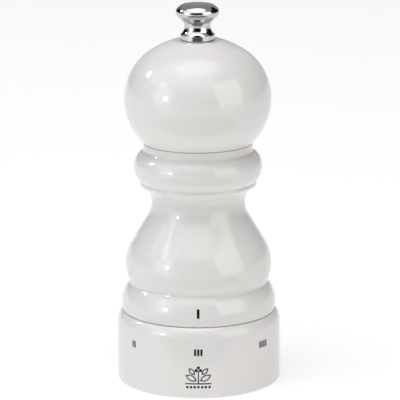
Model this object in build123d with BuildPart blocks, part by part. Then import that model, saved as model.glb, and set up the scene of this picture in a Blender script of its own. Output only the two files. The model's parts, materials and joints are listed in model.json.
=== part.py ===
"""Turned pepper mill, 120 mm tall, with a selector ring at its foot that sets the coarseness of the grind.

Row frame: millimetres, +Z up, origin at the centre of the face that the mill stands on. The front, where
the index mark is, faces -Y. Everything is shown at grind setting three of six, with the head seated and
the knob tight.

How it works: the head turns a square shaft, and the shaft turns a toothed cone inside a fixed toothed
ring. The selector ring drives a threaded adjuster, which raises or lowers the bridge that the cone stands
on, so the gap between cone and ring changes. A spring keeps the cone down on its bridge.
"""

from build123d import *
from math import asin, cos, degrees, radians, sin, sqrt
import os

# --------------------------------------------------------------------------------------------------
# Driving dimensions, in millimetres and degrees
# --------------------------------------------------------------------------------------------------

# Heights of the outer silhouette
total_height = 120.0
selector_height = 22.3  # wooden selector ring
body_foot = 22.45  # shoulder of the body, just above the selector
body_top = 76.2
head_foot = 76.3
head_top = 108.5  # small flat that the knob sits on
lacquer_round = 0.3  # radius that the lacquer leaves on an outside corner
lacquer_fill = 0.9  # radius that it leaves where it gathers in a groove

# Selector ring
selector_r = 25.78
selector_round_start = 18.8
selector_lip_r = 24.2
selector_foot_round = 0.7
selector_bore_r = 20.7
selector_ledge = 9.15
selector_socket_r = 22.2
selector_recess_r = 23.5
selector_recess_top = 2.2

# Body outline: (radius, height) where the silhouette turns
bead_foot = (24.0, body_foot)
bead_wide = (24.36, 25.3)
groove = (21.68, 31.6)
belly_wide = (23.06, 37.2)
flank_low = (21.3, 43.85)
flank_high = (16.15, 52.4)
waist = (14.72, 57.3)
cove_end = (17.8, 62.35)
listel_wide = (18.38, 63.1)
listel_top = (18.2, 63.9)
collar_wide = (20.17, 68.8)
neck_r = 17.2
neck_foot = (neck_r, 73.6)

# Body bores and tenon
tenon_r = 20.4
tenon_foot = 9.0
works_bore_r = 16.6  # bore for the grinding works
works_bore_top = 30.0
chamber_r = 11.2
chamber_top = 67.0
socket_r = 13.2  # socket for the spigot of the head

# Head: a lower arc and a shoulder arc that meet at the equator, then a flatter crown
equator = (23.05, 90.2)
shoulder_arc_r = 17.7
shoulder_end = 33  # slope of the outline, in degrees, where the crown starts
top_flat_r = 7.7
spigot_r = 13.0
spigot_foot = 67.6
head_bore_r = 4.2
plate_recess_top = 69.6
plate_recess_r = 10.5

# Knob
knob_foot = 108.6
washer_r = 4.85
washer_seat_r = 5.0
washer_seat = 108.1
flange_r = 5.4
flange_top = 110.5
stem = (4.12, 112.9)
cup_foot = (4.3, 114.2)
cup_swell = (5.75, 115.5)
knob_wide = (6.8, 117.4)
knob_shoulder = (6.15, 118.7)
knob_bevel = (5.5, 119.25)
crown_edge = (4.3, 119.8)
knob_thread_r = 2.55
knob_thread_depth = 8.9

# Shaft
shaft_side = 5.0
shaft_foot = 9.6
pilot_r = 2.2
pilot_foot = 4.2
stud_foot = 107.9
stud_top = 117.0
stud_r = 2.45
square_clearance = 0.1
seat_clearance = 0.05  # between a plate or a ring and the seat that it is fixed in

# Adjusting works
flange_foot = 7.2
flange_thickness = 1.8
flange_rim_r = 21.9
outlet_r = 13.2
sleeve_r = 16.4
sleeve_wall = 1.3
guide_thickness = 1.4
adjuster_foot = 2.2
adjuster_top = 7.05
adjuster_r = 22.15
adjuster_bore_r = 17.6
bridge_r = 17.5
bridge_bore_r = 14.2
bridge_foot = 3.0
bridge_rim_top = 6.7
hub_r = 5.6
thrust_height = 7.4  # face that the cone stands on
base_plate_foot = 0.7
base_plate_bore_r = 15.2
spoke_start = 30.0  # first of the three bridge spokes
settings = 6
setting_step = 360.0 / 7  # six settings and one blank share the circle
rest_setting = 3
click_circle_r = 18.6
stop_circle_r = 20.6

# Grinding cone and ring
cone_foot = (11.4, 8.6)
cone_knee = (8.6, 16.0)
cone_top = (7.0, 22.0)
grind_gap = 0.3
ring_r = 15.0
ring_foot = 9.05
ring_top = 20.9
ring_mouth_r = 13.6
fine_teeth = 24
feed_teeth = 6

# Spring
wire_r = 0.4
spring_r = 4.65
spring_foot = 20.4
spring_top = 27.25
spring_turns = 5

os.makedirs("parts", exist_ok=True)


def save(builder, name):
    """Labels a finished piece and writes it as one STEP file."""
    builder.part.label = name
    export_step(builder.part, f"parts/{name}.step")


def soften(corners, radius, *points):
    """Rounds the corners of an outline at these points, as a coat of lacquer does."""
    fillet([corners.sort_by_distance(point)[0] for point in points], radius)


def screw_blank(head_r, shank_r, length):
    """A countersunk screw without its cross, pointing up from Z = 0. It also cuts screw seats."""
    with BuildPart() as blank:
        with BuildSketch(Plane.XZ):
            with BuildLine():
                Polyline(
                    (0, 0),
                    (head_r, 0),
                    (shank_r, head_r - shank_r),
                    (shank_r, length - shank_r),
                    (0, length),
                    close=True,
                )
            make_face()
        revolve(axis=Axis.Z)
    return blank.part


def cross_screw(head_r, shank_r, length):
    """The same screw with a cross recess in its head."""
    with BuildPart() as screw:
        add(screw_blank(head_r, shank_r, length))
        with BuildSketch(Plane.XY):
            Rectangle(head_r * 1.15, head_r * 0.28)
            Rectangle(head_r * 0.28, head_r * 1.15)
        extrude(amount=(head_r - shank_r) * 0.8, mode=Mode.SUBTRACT)
    return screw.part


# --------------------------------------------------------------------------------------------------
# Screw patterns, shared by the pieces that they hold together
# --------------------------------------------------------------------------------------------------

# Each screw is head radius, shank radius and length
housing_screw = (2.15, 1.2, 10.0)
base_screw = (1.7, 0.9, 4.2)
plate_screw = (1.9, 1.1, 8.0)
housing_screw_places = PolarLocations(18.5, 3, 90).locations
base_screw_places = PolarLocations(20.2, 3, 90).locations
plate_screw_places = PolarLocations(7.2, 2, 90).locations


# --------------------------------------------------------------------------------------------------
# Turned beech, lacquered outside: selector ring, body and head
# --------------------------------------------------------------------------------------------------

with BuildPart() as selector_ring:
    with BuildSketch(Plane.XZ):
        with BuildLine():
            Line((selector_recess_r, 0), (selector_r, 0))
            Line((selector_r, 0), (selector_r, selector_round_start))
            TangentArc(
                (selector_r, selector_round_start),
                (selector_lip_r, selector_height),
                tangent=(0, 1),
            )
            Polyline(
                (selector_lip_r, selector_height),
                (selector_bore_r, selector_height),
                (selector_bore_r, selector_ledge),
                (selector_socket_r, selector_ledge),
                (selector_socket_r, selector_recess_top),
                (selector_recess_r, selector_recess_top),
                (selector_recess_r, 0),
            )
        make_face()
        soften(vertices(), lacquer_round, (selector_lip_r, selector_height))
        fillet(vertices().sort_by_distance((selector_r, 0))[0], selector_foot_round)
    revolve(axis=Axis.Z)
save(selector_ring, "selector_ring")

with BuildPart() as body:
    with BuildSketch(Plane.XZ):
        with BuildLine():
            Polyline((works_bore_r, tenon_foot), (tenon_r, tenon_foot), (tenon_r, body_foot), bead_foot)
            ThreePointArc(bead_foot, bead_wide, groove)
            TangentArc(belly_wide, groove, tangent=(0, -1))
            belly = TangentArc(belly_wide, flank_low, tangent=(0, 1))
            flank = TangentArc(flank_low, flank_high, tangent=belly % 1)
            lower_waist = TangentArc(flank_high, waist, tangent=flank % 1)
            TangentArc(waist, cove_end, tangent=lower_waist % 1)
            ThreePointArc(cove_end, listel_wide, listel_top)
            TangentArc(collar_wide, listel_top, tangent=(0, -1))
            TangentArc(collar_wide, neck_foot, tangent=(0, 1))
            Polyline(
                neck_foot,
                (neck_r, body_top),
                (socket_r, body_top),
                (socket_r, chamber_top),
                (chamber_r, chamber_top),
                (chamber_r, works_bore_top + 2.0),
                (chamber_r + 2.0, works_bore_top),
                (works_bore_r, works_bore_top),
                (works_bore_r, tenon_foot),
            )
        make_face()
        soften(vertices(), lacquer_round, bead_foot, cove_end, listel_top, (neck_r, body_top))
        soften(vertices(), lacquer_fill, groove, neck_foot)
    revolve(axis=Axis.Z)
    with Locations((0, 0, flange_foot)):
        with Locations(*housing_screw_places):
            add(screw_blank(*housing_screw), mode=Mode.SUBTRACT)
save(body, "body")

with BuildPart() as head:
    lower_start = (neck_r, head_foot)
    slope = radians(shoulder_end)
    crown_start = (
        equator[0] - shoulder_arc_r * (1 - sin(slope)),
        equator[1] + shoulder_arc_r * cos(slope),
    )
    with BuildSketch(Plane.XZ):
        with BuildLine():
            Polyline((spigot_r, spigot_foot), (spigot_r, head_foot), lower_start)
            TangentArc(equator, lower_start, tangent=(0, -1))
            shoulder = TangentArc(equator, crown_start, tangent=(0, 1))
            TangentArc(crown_start, (top_flat_r, head_top), tangent=shoulder % 1)
            Polyline(
                (top_flat_r, head_top),
                (washer_seat_r, head_top),
                (washer_seat_r, washer_seat),
                (head_bore_r, washer_seat),
                (head_bore_r, plate_recess_top),
                (plate_recess_r, plate_recess_top),
                (plate_recess_r, spigot_foot),
                (spigot_r, spigot_foot),
            )
        make_face()
        soften(vertices(), lacquer_round, lower_start, (spigot_r, spigot_foot), (top_flat_r, head_top))
    revolve(axis=Axis.Z)
    with Locations((0, 0, spigot_foot)):
        with Locations(*plate_screw_places):
            add(screw_blank(*plate_screw), mode=Mode.SUBTRACT)
save(head, "head")

# --------------------------------------------------------------------------------------------------
# Head fittings: drive plate with its screws, knob and the washer under it
# --------------------------------------------------------------------------------------------------

square_hole = shaft_side + 2 * square_clearance

with BuildPart() as drive_plate:
    with BuildSketch(Plane.XY.offset(spigot_foot)):
        Circle(plate_recess_r - seat_clearance)
        Rectangle(square_hole, square_hole, mode=Mode.SUBTRACT)
    extrude(amount=plate_recess_top - spigot_foot)
    with Locations((0, 0, spigot_foot)):
        with Locations(*plate_screw_places):
            add(screw_blank(*plate_screw), mode=Mode.SUBTRACT)
save(drive_plate, "drive_plate")

with BuildPart() as drive_plate_screws:
    with Locations((0, 0, spigot_foot)):
        with Locations(*plate_screw_places):
            add(cross_screw(*plate_screw))
save(drive_plate_screws, "drive_plate_screws")

with BuildPart() as knob_washer:
    with BuildSketch(Plane.XY.offset(washer_seat)):
        Circle(washer_r)
        Circle(stud_r + 0.25, mode=Mode.SUBTRACT)
    extrude(amount=knob_foot - washer_seat)
save(knob_washer, "knob_washer")

with BuildPart() as knob:
    with BuildSketch(Plane.XZ):
        with BuildLine():
            Polyline(
                (knob_thread_r, knob_foot),
                (flange_r - 0.3, knob_foot),
                (flange_r, knob_foot + 0.3),
                (flange_r, flange_top - 0.2),
                (flange_r - 0.2, flange_top),
            )
            TangentArc(stem, (flange_r - 0.2, flange_top), tangent=(0, -1))
            TangentArc(stem, cup_foot, tangent=(0, 1))
            TangentArc(cup_foot, cup_swell, tangent=(1, 0.55))
            TangentArc(knob_wide, cup_swell, tangent=(0, -1))
            TangentArc(knob_wide, knob_shoulder, tangent=(0, 1))
            ThreePointArc(knob_shoulder, knob_bevel, crown_edge)
            TangentArc((0, total_height), crown_edge, tangent=(1, 0))
            Polyline(
                (0, total_height),
                (0, knob_foot + knob_thread_depth + 0.8),
                (knob_thread_r, knob_foot + knob_thread_depth),
                (knob_thread_r, knob_foot),
            )
        make_face()
    revolve(axis=Axis.Z)
save(knob, "knob")

# --------------------------------------------------------------------------------------------------
# Shaft, and what turns with it
# --------------------------------------------------------------------------------------------------

circlip_top = 28.55
circlip_thickness = 0.7
groove_r = 2.15

with BuildPart() as shaft:
    with BuildSketch(Plane.XY.offset(pilot_foot)):
        Circle(pilot_r)
    extrude(amount=shaft_foot - pilot_foot)
    chamfer(shaft.edges().group_by(Axis.Z)[0], 0.4)
    with BuildSketch(Plane.XY.offset(shaft_foot)):
        Rectangle(shaft_side, shaft_side)
    extrude(amount=stud_foot - shaft_foot)
    with BuildSketch(Plane.XY.offset(stud_foot)):
        Circle(stud_r)
    extrude(amount=stud_top - stud_foot)
    chamfer(shaft.edges().group_by(Axis.Z)[-1], 0.5)
    with BuildSketch(Plane.XY.offset(circlip_top - circlip_thickness)):
        Rectangle(shaft_side + 1, shaft_side + 1)
        Circle(groove_r, mode=Mode.SUBTRACT)
    extrude(amount=circlip_thickness, mode=Mode.SUBTRACT)
save(shaft, "shaft")

with BuildPart() as shaft_circlip:
    with BuildSketch(Plane.XY.offset(circlip_top - circlip_thickness)):
        Circle(4.6)
        Circle(groove_r, mode=Mode.SUBTRACT)
        with Locations((3.5, 0)):
            Rectangle(7.0, 2.6, mode=Mode.SUBTRACT)
        with PolarLocations(3.4, 2, 120):
            Circle(0.6, mode=Mode.SUBTRACT)
    extrude(amount=circlip_thickness)
save(shaft_circlip, "shaft_circlip")

with BuildPart() as spring_washer:
    with BuildSketch(Plane.XY.offset(spring_top)):
        Circle(5.6)
        Rectangle(square_hole, square_hole, mode=Mode.SUBTRACT)
    extrude(amount=circlip_top - circlip_thickness - spring_top)
save(spring_washer, "spring_washer")

with BuildPart() as cone_spring:
    helix_foot = spring_foot + wire_r
    helix_height = spring_top - spring_foot - 2 * wire_r
    with BuildLine() as spring_line:
        Helix(helix_height / spring_turns, helix_height, spring_r, center=(0, 0, helix_foot))
    with BuildSketch(Plane(origin=spring_line.line @ 0, z_dir=spring_line.line % 0)):
        Circle(wire_r)
    sweep(path=spring_line.line, is_frenet=True)
save(cone_spring, "cone_spring")

# --------------------------------------------------------------------------------------------------
# Grinding cone and grinding ring
# --------------------------------------------------------------------------------------------------

cone_slope = degrees(asin((cone_foot[0] - cone_knee[0]) / sqrt(
    (cone_foot[0] - cone_knee[0]) ** 2 + (cone_knee[1] - cone_foot[1]) ** 2
)))
spring_seat_r = 5.6

with BuildPart() as grinding_cone:
    with BuildSketch(Plane.XZ):
        with BuildLine():
            Polyline(
                (0, thrust_height),
                (5.2, thrust_height),
                (5.2, cone_foot[1]),
                cone_foot,
                cone_knee,
                cone_top,
                (0, cone_top[1]),
                close=True,
            )
        make_face()
    revolve(axis=Axis.Z)
    with PolarLocations(10.1, fine_teeth):
        with Locations((0, 0, 11.2)):
            Box(1.1, 0.75, 11.0, rotation=(22, -cone_slope, 0), mode=Mode.SUBTRACT)
    with PolarLocations(8.7, feed_teeth):
        with Locations((0, 0, 19.6)):
            Box(2.6, 2.6, 11.0, rotation=(35, -18, 0), mode=Mode.SUBTRACT)
    with BuildSketch(Plane.XY.offset(thrust_height)):
        Rectangle(square_hole, square_hole)
    extrude(amount=cone_top[1] - thrust_height, mode=Mode.SUBTRACT)
    with BuildSketch(Plane.XY.offset(spring_foot)):
        Circle(spring_seat_r)
    extrude(amount=cone_top[1] - spring_foot, mode=Mode.SUBTRACT)
save(grinding_cone, "grinding_cone")

key_width = 2.2

with BuildPart() as grinding_ring:
    ring_foot_bore = cone_foot[0] - (ring_foot - cone_foot[1]) * (
        (cone_foot[0] - cone_knee[0]) / (cone_knee[1] - cone_foot[1])
    ) + grind_gap
    with BuildSketch(Plane.XZ):
        with BuildLine():
            Polyline(
                (ring_foot_bore, ring_foot),
                (ring_r, ring_foot),
                (ring_r, ring_top),
                (ring_mouth_r, ring_top),
                (cone_knee[0] + grind_gap, cone_knee[1]),
                close=True,
            )
        make_face()
    revolve(axis=Axis.Z)
    with PolarLocations(10.9, fine_teeth):
        with Locations((0, 0, 11.6)):
            Box(1.3, 0.75, 12.0, rotation=(-18, -cone_slope, 0), mode=Mode.SUBTRACT)
    with PolarLocations(ring_r, 3):
        with Locations((0, 0, ring_foot)):
            Box(
                1.6,
                key_width,
                9.0,
                align=(Align.CENTER, Align.CENTER, Align.MIN),
                mode=Mode.SUBTRACT,
            )
save(grinding_ring, "grinding_ring")

# --------------------------------------------------------------------------------------------------
# Fixed works: housing, guide plate, screws, stop pin and click spring
# --------------------------------------------------------------------------------------------------

sleeve_bore_r = sleeve_r - sleeve_wall
guide_foot = works_bore_top - guide_thickness
flange_top_z = flange_foot + flange_thickness
leg_slot_width = 3.2
leg_slot_r = 15.3
stop_pin_r = 0.9
click_pocket_depth = 0.9
click_angle = 150.0  # bearing of the click spring's nose

with BuildPart() as works_housing:
    with BuildSketch(Plane.XY.offset(flange_foot)):
        Circle(flange_rim_r)
        Circle(outlet_r, mode=Mode.SUBTRACT)
        with PolarLocations((outlet_r + leg_slot_r) / 2, 3, spoke_start):
            Rectangle(leg_slot_r - outlet_r + 0.6, leg_slot_width, mode=Mode.SUBTRACT)
    extrude(amount=flange_thickness)
    with BuildSketch(Plane.XY.offset(flange_top_z)):
        Circle(sleeve_r)
        Circle(sleeve_bore_r, mode=Mode.SUBTRACT)
    extrude(amount=guide_foot - flange_top_z)
    with PolarLocations(sleeve_bore_r, 3):
        with Locations((0, 0, ring_foot)):
            Box(
                1.3,
                key_width - 0.2,
                8.8,
                align=(Align.CENTER, Align.CENTER, Align.MIN),
            )
    with Locations((0, 0, flange_foot)):
        with Locations(*housing_screw_places):
            add(screw_blank(*housing_screw), mode=Mode.SUBTRACT)
    # Seat of the stop pin
    with Locations((0, -stop_circle_r, flange_foot)):
        Cylinder(
            stop_pin_r,
            flange_thickness,
            align=(Align.CENTER, Align.CENTER, Align.MIN),
            mode=Mode.SUBTRACT,
        )
    # Pocket that the click spring lies in
    with BuildSketch(Plane.XY.offset(flange_foot)):
        SlotArc(CenterArc((0, 0), click_circle_r, click_angle - 25, 50), 2.2)
    extrude(amount=click_pocket_depth, mode=Mode.SUBTRACT)
save(works_housing, "works_housing")

with BuildPart() as guide_plate:
    with BuildSketch(Plane.XY.offset(guide_foot)):
        Circle(works_bore_r - seat_clearance)
        Circle(works_bore_r - 3.0, mode=Mode.SUBTRACT)
        Circle(5.4)
        with PolarLocations(8.6, 3, spoke_start):
            Rectangle(11.0, 3.6)
        Circle(3.6, mode=Mode.SUBTRACT)
    extrude(amount=guide_thickness)
save(guide_plate, "guide_plate")

with BuildPart() as housing_screws:
    with Locations((0, 0, flange_foot)):
        with Locations(*housing_screw_places):
            add(cross_screw(*housing_screw))
save(housing_screws, "housing_screws")

stop_groove_foot = 5.3

with BuildPart() as stop_pin:
    with Locations((0, -stop_circle_r, stop_groove_foot + 0.2)):
        Cylinder(
            stop_pin_r,
            flange_top_z - stop_groove_foot - 0.2,
            align=(Align.CENTER, Align.CENTER, Align.MIN),
        )
    chamfer(stop_pin.edges().group_by(Axis.Z)[0], 0.2)
save(stop_pin, "stop_pin")

click_strip = 0.3
click_strip_foot = flange_foot + 0.1
click_nose_r = 0.45
click_nose_z = 7.1

with BuildPart() as click_spring:
    with BuildSketch(Plane.XY.offset(click_strip_foot)):
        SlotArc(CenterArc((0, 0), click_circle_r, click_angle - 23, 46), 1.8)
    extrude(amount=click_strip)
    # Feet that bear on the pocket's ceiling, so that the middle is free to lift
    with BuildSketch(Plane.XY.offset(click_strip_foot)):
        with PolarLocations(click_circle_r, 2, click_angle - 22, 88):
            Rectangle(1.8, 0.9)
    extrude(amount=flange_foot + click_pocket_depth - click_strip_foot)
    # Nose that drops into the notches
    with Locations(Location((0, 0, click_nose_z), (0, 0, click_angle))):
        with Locations((click_circle_r, 0, 0)):
            Cylinder(click_nose_r, 1.8, rotation=(0, 90, 0))
save(click_spring, "click_spring")

# --------------------------------------------------------------------------------------------------
# Selector works: adjuster, bridge, bush, base plate and its screws
# --------------------------------------------------------------------------------------------------

with BuildPart() as adjuster:
    with BuildSketch(Plane.XY.offset(adjuster_foot)):
        Circle(adjuster_r)
        Circle(adjuster_bore_r, mode=Mode.SUBTRACT)
    extrude(amount=adjuster_top - adjuster_foot)
    # The stop pin runs in this groove, and its two ends limit the travel to the six settings
    pin_half_angle = degrees(asin((stop_pin_r + 0.05) / stop_circle_r))
    towards_fine = (rest_setting - 1) * setting_step
    towards_coarse = (settings - rest_setting) * setting_step
    groove_start = 270 - towards_fine
    with BuildSketch(Plane.XY.offset(stop_groove_foot)):
        SlotArc(
            CenterArc((0, 0), stop_circle_r, groove_start, towards_fine + towards_coarse),
            2 * (stop_pin_r + 0.12),
        )
    extrude(amount=adjuster_top - stop_groove_foot, mode=Mode.SUBTRACT)
    # One click notch for each setting
    for index in range(settings):
        bearing = click_angle + (index + 1 - rest_setting) * setting_step
        with Locations(Location((0, 0, click_nose_z), (0, 0, bearing))):
            with Locations((click_circle_r, 0, 0)):
                Cylinder(click_nose_r + 0.1, 2.2, rotation=(0, 90, 0), mode=Mode.SUBTRACT)
    with Locations((0, 0, base_plate_foot)):
        with Locations(*base_screw_places):
            add(screw_blank(*base_screw), mode=Mode.SUBTRACT)
save(adjuster, "adjuster")

with BuildPart() as bridge:
    with BuildSketch(Plane.XY.offset(bridge_foot)):
        Circle(bridge_r)
        Circle(bridge_bore_r, mode=Mode.SUBTRACT)
    extrude(amount=bridge_rim_top - bridge_foot)
    with BuildSketch(Plane.XY.offset(bridge_foot)):
        Circle(hub_r)
        with PolarLocations((hub_r + bridge_bore_r) / 2, 3, spoke_start):
            Rectangle(bridge_bore_r - hub_r + 1.2, 3.4)
    extrude(amount=2.6)
    with BuildSketch(Plane.XY.offset(bridge_foot)):
        Circle(hub_r)
    extrude(amount=3.4)
    # Legs that slide in the slots of the housing, so that the bridge rises without turning
    with BuildSketch(Plane.XY.offset(bridge_rim_top - 2.0)):
        with PolarLocations(14.2, 3, spoke_start):
            Rectangle(1.6, 3.0)
    extrude(amount=3.8)
    with BuildSketch(Plane.XY.offset(bridge_foot)):
        Circle(3.6)
    extrude(amount=3.4, mode=Mode.SUBTRACT)
save(bridge, "bridge")

with BuildPart() as bridge_bush:
    with BuildSketch(Plane.XY.offset(bridge_foot)):
        Circle(3.6)
    extrude(amount=3.4)
    with BuildSketch(Plane.XY.offset(bridge_foot + 3.4)):
        Circle(5.2)
    extrude(amount=thrust_height - bridge_foot - 3.4)
    with BuildSketch(Plane.XY.offset(bridge_foot)):
        Circle(pilot_r + 0.08)
    extrude(amount=thrust_height - bridge_foot, mode=Mode.SUBTRACT)
save(bridge_bush, "bridge_bush")

with BuildPart() as base_plate:
    with BuildSketch(Plane.XY.offset(base_plate_foot)):
        Circle(selector_recess_r - seat_clearance)
        Circle(base_plate_bore_r, mode=Mode.SUBTRACT)
    extrude(amount=selector_recess_top - base_plate_foot)
    with Locations((0, 0, base_plate_foot)):
        with Locations(*base_screw_places):
            add(screw_blank(*base_screw), mode=Mode.SUBTRACT)
save(base_plate, "base_plate")

with BuildPart() as base_plate_screws:
    with Locations((0, 0, base_plate_foot)):
        with Locations(*base_screw_places):
            add(cross_screw(*base_screw))
save(base_plate_screws, "base_plate_screws")
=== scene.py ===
import json
import math

import bmesh
import bpy
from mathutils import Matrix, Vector


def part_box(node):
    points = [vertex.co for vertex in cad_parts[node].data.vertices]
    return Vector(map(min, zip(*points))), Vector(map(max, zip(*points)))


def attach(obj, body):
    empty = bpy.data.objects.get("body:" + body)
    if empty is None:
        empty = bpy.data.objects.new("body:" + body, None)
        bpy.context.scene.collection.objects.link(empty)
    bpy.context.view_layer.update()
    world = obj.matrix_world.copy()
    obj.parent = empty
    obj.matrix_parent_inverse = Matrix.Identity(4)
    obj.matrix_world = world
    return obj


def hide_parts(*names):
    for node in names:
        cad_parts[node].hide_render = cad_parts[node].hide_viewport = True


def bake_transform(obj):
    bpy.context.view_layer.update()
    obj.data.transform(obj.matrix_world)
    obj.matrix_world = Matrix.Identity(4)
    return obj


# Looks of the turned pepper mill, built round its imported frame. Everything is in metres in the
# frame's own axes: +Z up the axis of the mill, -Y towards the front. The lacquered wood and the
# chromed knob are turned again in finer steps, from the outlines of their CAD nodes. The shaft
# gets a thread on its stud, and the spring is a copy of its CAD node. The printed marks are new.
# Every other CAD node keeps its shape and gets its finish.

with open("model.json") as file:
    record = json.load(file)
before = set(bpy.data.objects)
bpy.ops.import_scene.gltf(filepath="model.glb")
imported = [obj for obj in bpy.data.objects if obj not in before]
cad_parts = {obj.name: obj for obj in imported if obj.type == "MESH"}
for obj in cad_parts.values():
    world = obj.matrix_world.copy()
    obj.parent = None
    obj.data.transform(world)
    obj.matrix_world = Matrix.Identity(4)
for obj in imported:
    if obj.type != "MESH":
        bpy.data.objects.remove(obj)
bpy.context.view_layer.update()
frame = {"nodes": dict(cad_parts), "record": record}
bpy.ops.object.select_all(action="DESELECT")

MM = 0.001
FRONT = math.radians(270)  # bearing of the front, from +X
TOUCHING = 0.001 * MM  # points nearer than this are one point


# ---------------------------------------------------------------------------------------------
# Camera, light and floor
# ---------------------------------------------------------------------------------------------

VIEW_BEARING = 0.5  # degrees round from the front
VIEW_HEIGHT = 13.3  # degrees up
VIEW_DISTANCE = 0.85
VIEW_ROLL = math.radians(-0.25)
LENS = 243.0
MIDDLE = Vector((0, 0, 60 * MM))  # half way up the mill, which camera and lights stand round
AIM = Vector((0.53, 0, 57.35)) * MM

SKY = 0.34  # brightness of the plain surround, where 1 is white
TABLE_GLOW = 0.5  # the same for the table's own glow
TABLE_RADIUS = 4.0

# Softboxes: bearing from the front and height above the table in degrees, distance, width and
# height in metres, brightness where 1 is white, and colour
LIGHTS = {
    "key_softbox": (-70, 50, 1.6, 1.3, 1.3, 0.85, "#F6FAFF"),
    "overhead_softbox": (0, 82, 2.4, 3.2, 2.4, 2.1, "#FFFFFF"),
    "front_softbox": (0, 52, 2.2, 3.4, 1.4, 0.95, "#FFFFFF"),
}
# The same for what shows only as a reflection in the gloss
REFLECTORS = {
    "near_lamp": (-51, 12, 1.5, 0.155, 0.17, 32.0, "#FFFFFF"),
    "far_lamp": (-109, 33, 1.5, 0.17, 0.18, 32.0, "#FFFFFF"),
    "window": (54, 20, 1.5, 1.2, 1.25, 1.6, "#FFFDF6"),
    "left_panel": (-58, 12, 1.6, 1.3, 1.5, 1.7, "#FFFFFF"),
    "diffuser": (-66, 35, 1.5, 0.36, 0.38, 1.9, "#FFFFFF"),
}
SOFT_EDGED = ("overhead_softbox", "front_softbox", "left_panel", "diffuser")
CENTRE = 0.5  # middle of a light's own face, where each side runs from 0 to 1
FADE_FROM, FADE_TO = 0.2, 0.5  # how far from its middle a soft light starts to fade, and is dark

# Cards that darken the reflections: bearing, height, distance, width, height and colour
CARDS = {
    "right_card": (118, 25, 1.4, 1.4, 1.1, "#050505"),
    "left_card": (-125, 18, 1.45, 1.3, 0.75, "#050505"),
    "camera_card": (0, 14, 1.35, 1.3, 1.0, "#050505"),
}
# Cards that lie on the table in front: width, length, distance of the middle from the mill, and
# colour
TABLE_CARDS = {
    "near_card": (0.3, 0.2, 0.16, "#B8B8B8"),
    "far_card": (0.7, 0.38, 0.66, "#858585"),
}
CARD_LIFT = 0.3 * MM  # height of a table card over the table


def towards(bearing, height):
    """Unit vector from the mill towards a bearing from the front and a height, both in degrees."""
    round_by, up_by = math.radians(bearing), math.radians(height)
    return Vector(
        (
            math.sin(round_by) * math.cos(up_by),
            -math.cos(round_by) * math.cos(up_by),
            math.sin(up_by),
        )
    )


def add_camera():
    """A long lens a little above the middle of the mill, rolled by a hair."""
    place = MIDDLE + towards(VIEW_BEARING, VIEW_HEIGHT) * VIEW_DISTANCE
    bpy.ops.object.camera_add(location=place)
    camera = bpy.context.object
    camera.rotation_euler = (AIM - place).to_track_quat("-Z", "Y").to_euler()
    camera.rotation_euler.rotate_axis("Z", VIEW_ROLL)
    camera.data.lens = LENS
    camera.data.clip_start = 10 * MM
    bpy.context.scene.camera = camera


def add_light(name, bearing, height, distance, width, tall, brightness, colour):
    """A softbox that faces the mill and that the camera doesn't see."""
    place = MIDDLE + towards(bearing, height) * distance
    facing = (MIDDLE - place).to_track_quat("-Z", "Y").to_euler()
    bpy.ops.object.light_add(type="AREA", location=place, rotation=facing)
    light = bpy.context.object
    light.name = name
    light.data.shape = "RECTANGLE"
    light.data.size = width
    light.data.size_y = tall
    light.data.energy = 4 * width * tall * brightness
    light.data.color = srgb(colour)[:3]
    light.visible_camera = False
    return light


def soften_edges(light):
    """Lets a softbox fade towards its edges, as its cloth does."""
    light.data.use_nodes = True
    tree = light.data.node_tree
    spot = add_node(tree, "NewGeometry", {})["Parametric"]
    off_centre = add_node(
        tree, "VectorMath", {0: spot, 1: (CENTRE, CENTRE, 0)}, operation="DISTANCE"
    )["Value"]
    fade = add_node(
        tree,
        "MapRange",
        {"Value": off_centre, "From Min": FADE_TO, "From Max": FADE_FROM},
        interpolation_type="SMOOTHSTEP",
    )["Result"]
    tree.links.new(fade, tree.nodes["Emission"].inputs["Strength"])


def add_card(name, place, facing, width, tall, colour):
    """A card that darkens only what the gloss reflects."""
    bpy.ops.mesh.primitive_plane_add(size=1, location=place, rotation=facing)
    card = bpy.context.object
    card.name = name
    card.scale = (width, tall, 1)
    bpy.ops.object.transform_apply()
    card.data.materials.append(flocked_card(name, colour))
    card.visible_camera = False
    card.visible_diffuse = False
    card.visible_shadow = False


def srgb(code):
    """Linear colour of an sRGB hex code."""
    values = [int(code[i : i + 2], 16) / 255 for i in (1, 3, 5)]
    return [v / 12.92 if v <= 0.04045 else ((v + 0.055) / 1.055) ** 2.4 for v in values] + [1.0]


# ---------------------------------------------------------------------------------------------
# Finishes
# ---------------------------------------------------------------------------------------------

ALONG_GRAIN = 18  # how much longer a growth ring runs up the wood than across it


def add_node(tree, kind, inputs, **settings):
    """Adds a shader node with its settings. Each input is a value or the output that feeds it."""
    node = tree.nodes.new("ShaderNode" + kind)
    for name, value in settings.items():
        setattr(node, name, value)
    for socket, value in inputs.items():
        if isinstance(value, bpy.types.NodeSocket):
            tree.links.new(value, node.inputs[socket])
        else:
            node.inputs[socket].default_value = value
    return node.outputs


def new_finish(name, fixed):
    """Starts a material: its node tree, its shader with fixed values, and where each point is."""
    material = bpy.data.materials.new(name)
    material.use_nodes = True
    tree = material.node_tree
    shader = tree.nodes["Principled BSDF"]
    for socket, value in fixed.items():
        shader.inputs[socket].default_value = value
    return material, tree, shader, add_node(tree, "TexCoord", {})["Object"]


def join_up(tree, shader, colour, roughness, normal):
    """Feeds the shader's colour, roughness and normal."""
    for socket, source in (("Base Color", colour), ("Roughness", roughness), ("Normal", normal)):
        tree.links.new(source, shader.inputs[socket])


def per(size):
    """Scale of a pattern whose features are this many millimetres across."""
    return 1 / (size * MM)


def along(x, y, z):
    """Scale of a pattern whose features are this many millimetres along each axis."""
    return {"Scale": (per(x), per(y), per(z))}


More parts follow.
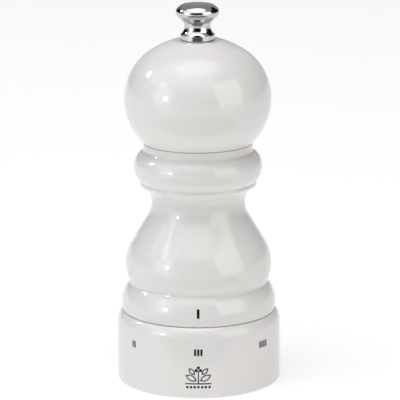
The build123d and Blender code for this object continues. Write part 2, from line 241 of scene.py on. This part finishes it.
def lacquered_beech(name, bare_below, bare_inside):
    """White polyurethane lacquer, sprayed on turned beech and polished: a deep even gloss with
    the faintest ripple. It stops at the joints: below one height and inside one radius, the wood
    is bare, a warm tan with soft growth rings and the short dark flecks of beech."""
    finish, tree, shader, place = new_finish(name, {"IOR": 1.5})
    edge = 0.05 * MM
    height = add_node(tree, "SeparateXYZ", {"Vector": place})["Z"]
    flat = add_node(tree, "VectorMath", {0: place, 1: (1, 1, 0)}, operation="MULTIPLY")["Vector"]
    radius = add_node(tree, "VectorMath", {0: flat}, operation="LENGTH")["Value"]
    outside = add_node(
        tree,
        "MapRange",
        {"Value": radius, "From Min": bare_inside - edge, "From Max": bare_inside + edge},
    )["Result"]
    above = add_node(
        tree,
        "MapRange",
        {"Value": height, "From Min": bare_below - edge, "From Max": bare_below + edge},
    )["Result"]
    sprayed = add_node(tree, "Math", {0: outside, 1: above}, operation="MULTIPLY")["Value"]

    # White with a faint pink cloud every 30 mm
    drift = add_node(tree, "TexNoise", {"Vector": place, "Scale": per(30)})["Fac"]
    cloud = add_node(
        tree, "MapRange", {"Value": drift, "From Min": 0.4, "From Max": 0.65}
    )["Result"]
    white = add_node(
        tree, "Mix", {0: cloud, 6: srgb("#E5E5E2"), 7: srgb("#E8E4E3")}, data_type="RGBA"
    )[2]

    # Growth rings 1.5 mm apart and ray flecks 0.35 mm wide, both drawn out along the turning axis
    ring_place = add_node(tree, "Mapping", {"Vector": place, **along(1.5, 1.5, 1.5 * ALONG_GRAIN)})
    rings = add_node(
        tree, "TexNoise", {"Vector": ring_place[0], "Scale": 1.0, "Detail": 3.0}
    )["Fac"]
    fleck_place = add_node(tree, "Mapping", {"Vector": place, **along(0.35, 0.35, 2.1)})
    flecks = add_node(tree, "TexNoise", {"Vector": fleck_place[0], "Scale": 1.0, "Detail": 1.0})
    fleck = add_node(
        tree, "MapRange", {"Value": flecks["Fac"], "From Min": 0.62, "From Max": 0.68}
    )["Result"]
    grain = add_node(
        tree, "Mix", {0: rings, 6: srgb("#E0C199"), 7: srgb("#BF946A")}, data_type="RGBA"
    )[2]
    wood = add_node(tree, "Mix", {0: fleck, 6: grain, 7: srgb("#9A6B45")}, data_type="RGBA")[2]
    colour = add_node(tree, "Mix", {0: sprayed, 6: wood, 7: white}, data_type="RGBA")[2]

    # Polished coat, with a haze of handling, against sanded wood
    hazy = add_node(tree, "TexNoise", {"Vector": place, "Scale": per(12), "Detail": 3.0})["Fac"]
    haze = add_node(
        tree,
        "MapRange",
        {"Value": hazy, "From Min": 0.3, "From Max": 0.8, "To Min": 0.07, "To Max": 0.11},
    )["Result"]
    sanded = add_node(tree, "MapRange", {"Value": rings, "To Min": 0.5, "To Max": 0.65})["Result"]
    gloss = add_node(tree, "Mix", {0: sprayed, 2: sanded, 3: haze})[0]

    # Spray ripple 2.5 mm across, against open fibres
    ripple = add_node(tree, "TexNoise", {"Vector": place, "Scale": per(2.5), "Detail": 1.0})["Fac"]
    fibre_place = add_node(tree, "Mapping", {"Vector": place, **along(0.3, 0.3, 6)})
    fibres = add_node(tree, "TexNoise", {"Vector": fibre_place[0], "Scale": 12.0})["Fac"]
    relief = add_node(tree, "Mix", {0: sprayed, 2: fibres, 3: ripple})[0]
    bump = add_node(tree, "Bump", {"Height": relief, "Distance": 0.0012 * MM})["Normal"]
    join_up(tree, shader, colour, gloss, bump)
    return finish


def polished_chrome():
    """Nickel and chrome plated on turned brass: a cool mirror, softened a little by hair
    scratches from wiping, which are drawn coarser than real so that they show."""
    finish, tree, shader, place = new_finish("polished_chrome", {"Metallic": 1.0})
    film = add_node(tree, "TexNoise", {"Vector": place, "Scale": per(4), "Detail": 3.0})["Fac"]
    colour = add_node(
        tree, "Mix", {0: film, 6: srgb("#C8C9CB"), 7: srgb("#BFC0C3")}, data_type="RGBA"
    )[2]
    wiped = add_node(tree, "Mapping", {"Vector": place, **along(2, 2, 0.25)})
    scratches = add_node(tree, "TexNoise", {"Vector": wiped[0], "Scale": 1.0})["Fac"]
    gloss = add_node(tree, "MapRange", {"Value": scratches, "To Min": 0.02, "To Max": 0.08})
    bump = add_node(tree, "Bump", {"Height": scratches, "Distance": 0.0004 * MM})
    join_up(tree, shader, colour, gloss["Result"], bump["Normal"])
    return finish


def zinc_plated_steel():
    """Cold-drawn and stamped steel with a thin bright zinc plate: a soft grey sheen with a
    bluish mottle, and fine lines along the shaft."""
    finish, tree, shader, place = new_finish("zinc_plated_steel", {"Metallic": 1.0})
    mottle = add_node(tree, "TexNoise", {"Vector": place, "Scale": per(2), "Detail": 4.0})["Fac"]
    colour = add_node(
        tree, "Mix", {0: mottle, 6: srgb("#CDD0D3"), 7: srgb("#9DA2AA")}, data_type="RGBA"
    )[2]
    drawn = add_node(tree, "Mapping", {"Vector": place, **along(0.15, 0.15, 2)})
    lines = add_node(tree, "TexNoise", {"Vector": drawn[0], "Scale": 1.0})["Fac"]
    gloss = add_node(tree, "MapRange", {"Value": lines, "To Min": 0.2, "To Max": 0.4})
    bump = add_node(tree, "Bump", {"Height": lines, "Distance": 0.004 * MM})
    join_up(tree, shader, colour, gloss["Result"], bump["Normal"])
    return finish


def spring_steel():
    """Tempered spring wire and strip, oiled: brownish grey and smooth, with blue-brown clouds."""
    finish, tree, shader, place = new_finish("spring_steel", {"Metallic": 1.0})
    temper = add_node(tree, "TexNoise", {"Vector": place, "Scale": per(3), "Detail": 2.0})["Fac"]
    colour = add_node(
        tree, "Mix", {0: temper, 6: srgb("#A79F93"), 7: srgb("#7C7F86")}, data_type="RGBA"
    )[2]
    oil = add_node(tree, "TexNoise", {"Vector": place, "Scale": per(0.5), "Detail": 3.0})["Fac"]
    gloss = add_node(tree, "MapRange", {"Value": oil, "To Min": 0.16, "To Max": 0.36})
    bump = add_node(tree, "Bump", {"Height": oil, "Distance": 0.002 * MM})
    join_up(tree, shader, colour, gloss["Result"], bump["Normal"])
    return finish


def hardened_steel():
    """Machined and case-hardened steel: dark oiled grey, with turning lines 0.2 mm apart round
    the axis and brighter patches where the scale has worn off."""
    finish, tree, shader, place = new_finish("hardened_steel", {"Metallic": 1.0})
    scale = add_node(tree, "TexNoise", {"Vector": place, "Scale": per(0.8), "Detail": 4.0})["Fac"]
    worn = add_node(tree, "MapRange", {"Value": scale, "From Min": 0.5, "From Max": 0.7})["Result"]
    colour = add_node(
        tree, "Mix", {0: worn, 6: srgb("#5E5F62"), 7: srgb("#929396")}, data_type="RGBA"
    )[2]
    turned = add_node(tree, "Mapping", {"Vector": place, **along(4, 4, 0.2)})
    lines = add_node(tree, "TexNoise", {"Vector": turned[0], "Scale": 1.0})["Fac"]
    gloss = add_node(tree, "MapRange", {"Value": lines, "To Min": 0.25, "To Max": 0.5})
    bump = add_node(tree, "Bump", {"Height": lines, "Distance": 0.006 * MM})
    join_up(tree, shader, colour, gloss["Result"], bump["Normal"])
    return finish


def sintered_bronze():
    """Pressed bronze powder filled with oil: brown-gold and open-pored. The pores are drawn at
    0.15 mm, larger than real, so that they show."""
    finish, tree, shader, place = new_finish("sintered_bronze", {"Metallic": 1.0})
    powder = add_node(
        tree, "TexNoise", {"Vector": place, "Scale": per(0.15), "Detail": 3.0}
    )["Fac"]
    pores = add_node(
        tree, "MapRange", {"Value": powder, "From Min": 0.58, "From Max": 0.66}
    )["Result"]
    colour = add_node(
        tree, "Mix", {0: pores, 6: srgb("#B98A55"), 7: srgb("#5A3D22")}, data_type="RGBA"
    )[2]
    gloss = add_node(tree, "MapRange", {"Value": pores, "To Min": 0.34, "To Max": 0.6})
    bump = add_node(tree, "Bump", {"Height": pores, "Distance": 0.02 * MM}, invert=True)
    join_up(tree, shader, colour, gloss["Result"], bump["Normal"])
    return finish


def moulded_acetal():
    """Black acetal from a spark-eroded mould: an even satin grain, drawn at 0.12 mm, with a
    trace of pale dust."""
    finish, tree, shader, place = new_finish("moulded_black_acetal", {"IOR": 1.48})
    specks = add_node(tree, "TexNoise", {"Vector": place, "Scale": per(3), "Detail": 5.0})["Fac"]
    dust = add_node(
        tree, "MapRange", {"Value": specks, "From Min": 0.55, "From Max": 0.8}
    )["Result"]
    colour = add_node(
        tree, "Mix", {0: dust, 6: srgb("#18181A"), 7: srgb("#333230")}, data_type="RGBA"
    )[2]
    eroded = add_node(tree, "TexNoise", {"Vector": place, "Scale": per(0.12)})["Fac"]
    gloss = add_node(tree, "MapRange", {"Value": eroded, "To Min": 0.36, "To Max": 0.5})
    bump = add_node(tree, "Bump", {"Height": eroded, "Distance": 0.01 * MM})
    join_up(tree, shader, colour, gloss["Result"], bump["Normal"])
    return finish


def natural_nylon():
    """Uncoloured nylon, moulded: a milky white that lets in a little light, with a soft gloss."""
    fixed = {"IOR": 1.53, "Subsurface Weight": 0.25, "Subsurface Scale": 0.5 * MM}
    finish, tree, shader, place = new_finish("natural_nylon", fixed)
    milk = add_node(tree, "TexNoise", {"Vector": place, "Scale": per(1.5)})["Fac"]
    colour = add_node(
        tree, "Mix", {0: milk, 6: srgb("#E8E3D4"), 7: srgb("#DAD2BF")}, data_type="RGBA"
    )[2]
    gloss = add_node(tree, "MapRange", {"Value": milk, "To Min": 0.3, "To Max": 0.42})
    skin = add_node(tree, "TexNoise", {"Vector": place, "Scale": per(0.2)})["Fac"]
    bump = add_node(tree, "Bump", {"Height": skin, "Distance": 0.003 * MM})
    join_up(tree, shader, colour, gloss["Result"], bump["Normal"])
    return finish


def printed_ink():
    """Pad-printed black ink: dense and a little less glossy than the lacquer, greyer where the
    film is thin."""
    finish, tree, shader, place = new_finish("printed_ink", {"IOR": 1.5})
    film = add_node(tree, "TexNoise", {"Vector": place, "Scale": per(0.3), "Detail": 3.0})["Fac"]
    thin = add_node(tree, "MapRange", {"Value": film, "From Min": 0.5, "From Max": 0.8})["Result"]
    colour = add_node(
        tree, "Mix", {0: thin, 6: srgb("#101011"), 7: srgb("#303031")}, data_type="RGBA"
    )[2]
    gloss = add_node(tree, "MapRange", {"Value": thin, "To Min": 0.2, "To Max": 0.4})
    bump = add_node(tree, "Bump", {"Height": film, "Distance": 0.002 * MM})
    join_up(tree, shader, colour, gloss["Result"], bump["Normal"])
    return finish


def white_laminate():
    """Matt white table top: near white all over, with a fine tooth. A little of its own glow
    stands for the lit room round the set."""
    fixed = {"Emission Color": srgb("#FFFFFF"), "Emission Strength": TABLE_GLOW}
    finish, tree, shader, place = new_finish("white_laminate", fixed)
    tooth = add_node(tree, "TexNoise", {"Vector": place, "Scale": per(0.8)})["Fac"]
    colour = add_node(
        tree, "Mix", {0: tooth, 6: srgb("#CBCBCA"), 7: srgb("#C6C6C5")}, data_type="RGBA"
    )[2]
    gloss = add_node(tree, "MapRange", {"Value": tooth, "To Min": 0.6, "To Max": 0.7})
    bump = add_node(tree, "Bump", {"Height": tooth, "Distance": 0.01 * MM})
    join_up(tree, shader, colour, gloss["Result"], bump["Normal"])
    return finish


def flocked_card(name, shade):
    """Flocked card: soft fibres with no shine."""
    finish, tree, shader, place = new_finish("flocked_" + name, {"Specular IOR Level": 0.1})
    flock = add_node(tree, "TexNoise", {"Vector": place, "Scale": per(2)})["Fac"]
    colour = add_node(
        tree, "Mix", {0: flock, 6: srgb(shade), 7: srgb("#0A0A0A")}, data_type="RGBA"
    )[2]
    tree.links.new(colour, shader.inputs["Base Color"])
    return finish


# ---------------------------------------------------------------------------------------------
# Modelling helpers
# ---------------------------------------------------------------------------------------------


def activate(piece):
    """Makes one piece the only one selected."""
    bpy.ops.object.select_all(action="DESELECT")
    piece.select_set(True)
    bpy.context.view_layer.objects.active = piece


def select_vertices(piece, wanted):
    """In edit mode, selects the vertices whose place passes the test, and nothing else."""
    bpy.ops.mesh.select_mode(type="VERT")
    mesh = bmesh.from_edit_mesh(piece.data)
    for vertex in mesh.verts:
        vertex.select_set(wanted(vertex.co))
    mesh.select_flush_mode()
    bmesh.update_edit_mesh(piece.data)


def copy_of(node, name):
    """A new piece that starts as a CAD node's mesh, with its doubles merged, in edit mode."""
    piece = bpy.data.objects.new(name, frame["nodes"][node].data.copy())
    bpy.context.scene.collection.objects.link(piece)
    activate(piece)
    bpy.ops.mesh.customdata_custom_splitnormals_clear()
    bpy.ops.object.mode_set(mode="EDIT")
    bpy.ops.mesh.select_all(action="SELECT")
    bpy.ops.mesh.remove_doubles(threshold=TOUCHING)
    return piece


def apply_modifier(piece, kind, **settings):
    """Adds a modifier to the active piece and applies it."""
    modifier = piece.modifiers.new(kind.lower(), kind)
    for name, value in settings.items():
        setattr(modifier, name, value)
    bpy.ops.object.modifier_apply(modifier=modifier.name)


def finish_piece(piece, finish, body, stands_for=None):
    """Gives a new piece its finish, hides the CAD node that it stands for, and attaches it to the
    body that it rides, if it is given one."""
    piece.data.materials.clear()
    piece.data.materials.append(finish)
    if body:
        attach(piece, body)
    if stands_for:
        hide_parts(stands_for)
    return piece


WOOD_STEPS = 240
KNOB_STEPS = 192


def turn_again(node, name, steps):
    """Turns the outline of a round CAD node again, in finer steps, so that its gloss runs
    without facets."""
    piece = copy_of(node, name)
    select_vertices(piece, lambda co: abs(co.y) > TOUCHING or co.x < -TOUCHING)
    bpy.ops.mesh.delete(type="VERT")
    bpy.ops.mesh.select_all(action="SELECT")
    bpy.ops.mesh.spin(steps=steps, angle=math.tau, center=(0, 0, 0), axis=(0, 0, 1))
    bpy.ops.mesh.select_all(action="SELECT")
    bpy.ops.mesh.remove_doubles(threshold=TOUCHING)
    bpy.ops.mesh.normals_make_consistent(inside=False)
    bpy.ops.object.mode_set(mode="OBJECT")
    bpy.ops.object.shade_smooth_by_angle(angle=math.radians(30))
    apply_modifier(piece, "WEIGHTED_NORMAL", mode="FACE_AREA", keep_sharp=True)
    return piece


# ---------------------------------------------------------------------------------------------
# Threaded shaft and spring
# ---------------------------------------------------------------------------------------------

THREAD_PITCH = 0.8 * MM
THREAD_CREST = 2.48 * MM
THREAD_DEPTH = 0.45 * MM
CREST_ROUND = 0.06 * MM
STUD_FOOT = 107.9 * MM
STUD_CHAMFER = 0.4 * MM
ROOT_OVERLAP = 0.03 * MM  # how far the core of the stud reaches into its thread
STUMP = 0.1 * MM  # what is left of the plain stud under the thread


def thread(foot, top):
    """A right-hand V thread, swept up from one tooth."""
    turns = int((top - foot) / THREAD_PITCH) - 1
    bpy.ops.mesh.primitive_circle_add(
        vertices=4, radius=THREAD_PITCH / 2, rotation=(math.pi / 2, 0, 0)
    )
    tooth = bpy.context.object
    tooth.name = "thread"
    tooth.scale.x = THREAD_DEPTH / (THREAD_PITCH / 2)
    tooth.location = (THREAD_CREST - THREAD_DEPTH, 0, foot + THREAD_PITCH / 2)
    bpy.ops.object.transform_apply()
    bpy.ops.object.mode_set(mode="EDIT")
    select_vertices(tooth, lambda co: co.x < THREAD_CREST - THREAD_DEPTH - TOUCHING)
    bpy.ops.mesh.delete(type="VERT")
    select_vertices(tooth, lambda co: co.x > THREAD_CREST - TOUCHING)
    bpy.ops.mesh.bevel(offset=CREST_ROUND, affect="VERTICES")
    bpy.ops.object.mode_set(mode="OBJECT")
    apply_modifier(
        tooth,
        "SCREW",
        angle=math.tau,
        screw_offset=THREAD_PITCH,
        iterations=turns,
        steps=48,
        render_steps=48,
        use_merge_vertices=True,
        merge_threshold=TOUCHING,
        use_normal_calculate=True,
    )
    return tooth


def threaded_shaft():
    """The square shaft, with a real thread on its stud in place of the plain cylinder."""
    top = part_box("shaft")[1].z
    shaft = copy_of("shaft", "threaded_shaft")
    bpy.ops.mesh.bisect(
        plane_co=(0, 0, STUD_FOOT + STUMP), plane_no=(0, 0, 1), clear_outer=True, use_fill=True
    )
    bpy.ops.object.mode_set(mode="OBJECT")
    ridge = thread(STUD_FOOT, top)
    root = THREAD_CREST - THREAD_DEPTH + ROOT_OVERLAP
    bpy.ops.mesh.primitive_cylinder_add(
        vertices=64, radius=root, depth=top - STUD_FOOT, location=(0, 0, (top + STUD_FOOT) / 2)
    )
    core = bpy.context.object
    bpy.ops.object.transform_apply()
    bpy.ops.object.mode_set(mode="EDIT")
    select_vertices(core, lambda co: co.z > top - TOUCHING)
    bpy.ops.mesh.bevel(offset=STUD_CHAMFER, segments=3)
    bpy.ops.object.mode_set(mode="OBJECT")
    activate(shaft)
    ridge.select_set(True)
    core.select_set(True)
    bpy.ops.object.join()
    bpy.ops.object.shade_smooth_by_angle(angle=math.radians(35))
    return shaft


def wound_spring():
    """The spring on the shaft, a smooth-shaded copy of its CAD node."""
    spring = copy_of("cone_spring", "wound_spring")
    bpy.ops.object.mode_set(mode="OBJECT")
    bpy.ops.object.shade_smooth_by_angle(angle=math.radians(40))
    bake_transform(spring)
    return spring


# ---------------------------------------------------------------------------------------------
# Printed marks
# ---------------------------------------------------------------------------------------------

INK_PROUD = 0.012 * MM  # how far the film stands out of the lacquer
INK_THICK = 0.03 * MM
SETTINGS = 6
SETTING_STEP = math.tau / 7
REST_SETTING = 3
BAR_WIDTH = 0.68 * MM
BAR_PITCH = 0.98 * MM
BAR_FOOT = 13.85 * MM
BAR_TOP = 16.0 * MM
INDEX_WIDTH = 0.85 * MM
INDEX_FOOT = 25.4 * MM
INDEX_TOP = 28.5 * MM
BAR_CORNER = 0.1 * MM


def stand_up(piece, bearing, radius, height):
    """Stands a flat shape up against the mill at a bearing, facing out."""
    piece.rotation_euler = (math.pi / 2, 0, bearing + math.pi / 2)
    piece.location = (radius * math.cos(bearing), radius * math.sin(bearing), height)
    bpy.ops.object.transform_apply()


def ink_bar(width, height):
    """A flat upright bar with eased corners, lying at the origin."""
    bpy.ops.mesh.primitive_grid_add(x_subdivisions=4, y_subdivisions=12, size=1)
    bar = bpy.context.object
    bar.scale = (width, height, 1)
    bpy.ops.object.transform_apply()
    bpy.ops.object.mode_set(mode="EDIT")
    select_vertices(
        bar,
        lambda co: abs(co.x) > width / 2 - TOUCHING and abs(co.y) > height / 2 - TOUCHING,
    )
    bpy.ops.mesh.bevel(offset=BAR_CORNER, segments=2, affect="VERTICES")
    bpy.ops.object.mode_set(mode="OBJECT")
    return bar


def lay_ink(piece, surface):
    """Lays a flat shape on a lacquered surface as a thin film."""
    activate(piece)
    apply_modifier(
        piece,
        "SHRINKWRAP",
        target=surface,
        wrap_method="NEAREST_SURFACEPOINT",
        wrap_mode="ABOVE_SURFACE",
        offset=INK_PROUD,
    )
    apply_modifier(piece, "SOLIDIFY", thickness=INK_THICK, offset=-1)
    bpy.ops.object.shade_smooth_by_angle(angle=math.radians(30))


def join(pieces, name):
    """Joins pieces into one and names it."""
    activate(pieces[0])
    for piece in pieces[1:]:
        piece.select_set(True)
    bpy.ops.object.join()
    pieces[0].name = name
    return pieces[0]


def index_mark(body):
    """The bar on the body that the settings are read against."""
    bar = ink_bar(INDEX_WIDTH, INDEX_TOP - INDEX_FOOT)
    stand_up(bar, FRONT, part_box("body")[1].x, (INDEX_TOP + INDEX_FOOT) / 2)
    lay_ink(bar, body)
    bar.name = "index_mark"
    return bar


def setting_marks(ring):
    """Groups of one to six bars round the selector ring, the third at the front."""
    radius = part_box("selector_ring")[1].x
    bars = []
    for setting in range(1, SETTINGS + 1):
        bearing = FRONT + (setting - REST_SETTING) * SETTING_STEP
        for i in range(setting):
            bar = ink_bar(BAR_WIDTH, BAR_TOP - BAR_FOOT)
            shift = (i - (setting - 1) / 2) * BAR_PITCH / radius
            stand_up(bar, bearing + shift, radius, (BAR_TOP + BAR_FOOT) / 2)
            bars.append(bar)
    marks = join(bars, "setting_marks")
    lay_ink(marks, ring)
    return marks


# The emblem is a sprig of pepper over a ground line and a row of corns. Its numbers are in
# millimetres from its middle, which is at EMBLEM_HEIGHT.
EMBLEM_HEIGHT = 7.05 * MM
# Each leaf: its middle, its length, its width and its lean in degrees
LEAVES = [
    (-2.25, -0.35, 4.4, 1.9, -28),
    (2.25, -0.35, 4.4, 1.9, 28),
    (-2.05, 1.75, 3.2, 1.5, -48),
    (2.05, 1.75, 3.2, 1.5, 48),
]
LEAF_LINE = 0.36
LEAF_REACH = 1.3  # how far the tips of a leaf are drawn out from an ellipse
# Each corn: its middle and its radius
CORNS = [(-0.68, 2.1, 0.52), (0.68, 2.1, 0.52), (0.0, 3.0, 0.52)] + [
    (1.16 * step, -3.3, 0.42) for step in range(-3, 4)
]
# The ground line and the stem: middle, width and height
LINES = [(0.0, -2.2, 8.2, 0.4), (0.0, 0.0, 0.36, 4.2)]


def set_down(shape, x, y, lean=0.0):
    """Turns a flat shape and moves it to its place in the emblem, in millimetres."""
    shape.rotation_euler.z = math.radians(lean)
    shape.location = (x * MM, y * MM, 0)
    bpy.ops.object.transform_apply()
    return shape


def ink_leaf(x, y, length, width, lean):
    """The outline of a leaf with two pointed ends."""
    bpy.ops.mesh.primitive_circle_add(vertices=32, radius=1, fill_type="NGON")
    leaf = bpy.context.object
    half = length / 2 / LEAF_REACH * MM
    leaf.scale = (half, width / 2 * MM, 1)
    bpy.ops.object.transform_apply()
    bpy.ops.object.mode_set(mode="EDIT")
    select_vertices(leaf, lambda co: abs(co.x) > half - TOUCHING)
    bpy.ops.transform.resize(value=(LEAF_REACH, 1, 1), center_override=(0, 0, 0))
    bpy.ops.mesh.select_all(action="SELECT")
    bpy.ops.mesh.inset(thickness=LEAF_LINE * MM)
    bpy.ops.mesh.delete(type="FACE")
    bpy.ops.object.mode_set(mode="OBJECT")
    return set_down(leaf, x, y, lean)


def ink_line(x, y, width, height):
    """A straight line of ink."""
    bpy.ops.mesh.primitive_grid_add(x_subdivisions=16, y_subdivisions=4, size=1)
    line = bpy.context.object
    line.scale = (width * MM, height * MM, 1)
    bpy.ops.object.transform_apply()
    return set_down(line, x, y)


def ink_corn(x, y, radius):
    """A round peppercorn."""
    bpy.ops.mesh.primitive_circle_add(vertices=20, radius=radius * MM, fill_type="TRIFAN")
    return set_down(bpy.context.object, x, y)


def emblem(ring):
    """A small sprig of pepper, printed at the front of the ring."""
    shapes = [ink_leaf(*leaf) for leaf in LEAVES]
    shapes += [ink_line(*line) for line in LINES]
    shapes += [ink_corn(*corn) for corn in CORNS]
    sprig = join(shapes, "emblem")
    stand_up(sprig, FRONT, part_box("selector_ring")[1].x, EMBLEM_HEIGHT)
    lay_ink(sprig, ring)
    return sprig


# ---------------------------------------------------------------------------------------------
# The mill
# ---------------------------------------------------------------------------------------------


def dress_cad_nodes(finishes):
    """Gives each CAD node that still shows the finish of its material slot."""
    for part in frame["record"]["subparts"]:
        node = frame["nodes"][part["node"]]
        finish = finishes.get(part["material_slot"])
        if finish and not node.hide_render:
            for place in node.material_slots:
                place.material = finish


# Each turned piece of wood: its name, its finish, its body, the height below which it is bare and
# the radius inside which it is bare
TURNINGS = {
    "selector_ring": ("lacquered_ring", "lacquered_beech_ring", "selector", -1.0 * MM, 22.6 * MM),
    "body": ("lacquered_body", "lacquered_beech_body", "mill_body", 22.35 * MM, 13.8 * MM),
    "head": ("lacquered_head", "lacquered_beech_head", "head", 76.2 * MM, 5.05 * MM),
}


def build_mill():
    """Builds the new pieces, and dresses the CAD nodes that stay."""
    steel = zinc_plated_steel()
    ink = printed_ink()

    turned = {}
    for node, (name, coat, rides, bare_below, bare_inside) in TURNINGS.items():
        turned[node] = turn_again(node, name, WOOD_STEPS)
        wood = lacquered_beech(coat, bare_below, bare_inside)
        finish_piece(turned[node], wood, rides, node)

    knob = turn_again("knob", "chromed_knob", KNOB_STEPS)
    finish_piece(knob, polished_chrome(), "knob", "knob")

    shaft = threaded_shaft()
    finish_piece(shaft, steel, "shaft", "shaft")

    coiled = spring_steel()
    finish_piece(wound_spring(), coiled, None, "cone_spring")

    ring = turned["selector_ring"]
    finish_piece(index_mark(turned["body"]), ink, "mill_body")
    finish_piece(setting_marks(ring), ink, "selector")
    finish_piece(emblem(ring), ink, "selector")

    dress_cad_nodes(
        {
            "zinc_plated_steel": steel,
            "hardened_steel": hardened_steel(),
            "spring_steel": coiled,
            "sintered_bronze": sintered_bronze(),
            "black_acetal": moulded_acetal(),
            "natural_nylon": natural_nylon(),
        }
    )


def set_the_table():
    """A white table under a plain pale surround, with its softboxes, reflectors and cards."""
    bpy.ops.mesh.primitive_circle_add(vertices=96, radius=TABLE_RADIUS, fill_type="NGON")
    table = bpy.context.object
    table.name = "table"
    table.data.materials.append(white_laminate())
    world = bpy.data.worlds.new("studio")
    bpy.context.scene.world = world
    world.use_nodes = True
    surround = world.node_tree.nodes["Background"].inputs
    surround["Color"].default_value = srgb("#FFFFFF")
    surround["Strength"].default_value = SKY
    for name, light in LIGHTS.items():
        add_light(name, *light)
    for name, light in REFLECTORS.items():
        add_light(name, *light).visible_diffuse = False
    for name, (bearing, height, distance, width, tall, colour) in CARDS.items():
        place = MIDDLE + towards(bearing, height) * distance
        facing = (MIDDLE - place).to_track_quat("Z", "Y").to_euler()
        add_card(name, place, facing, width, tall, colour)
    for name in SOFT_EDGED:
        soften_edges(bpy.data.objects[name])
    for name, (width, length, ahead, colour) in TABLE_CARDS.items():
        add_card(name, (0, -ahead, CARD_LIFT), (0, 0, 0), width, length, colour)


add_camera()
bpy.context.scene.view_settings.view_transform = "Standard"
set_the_table()
build_mill()
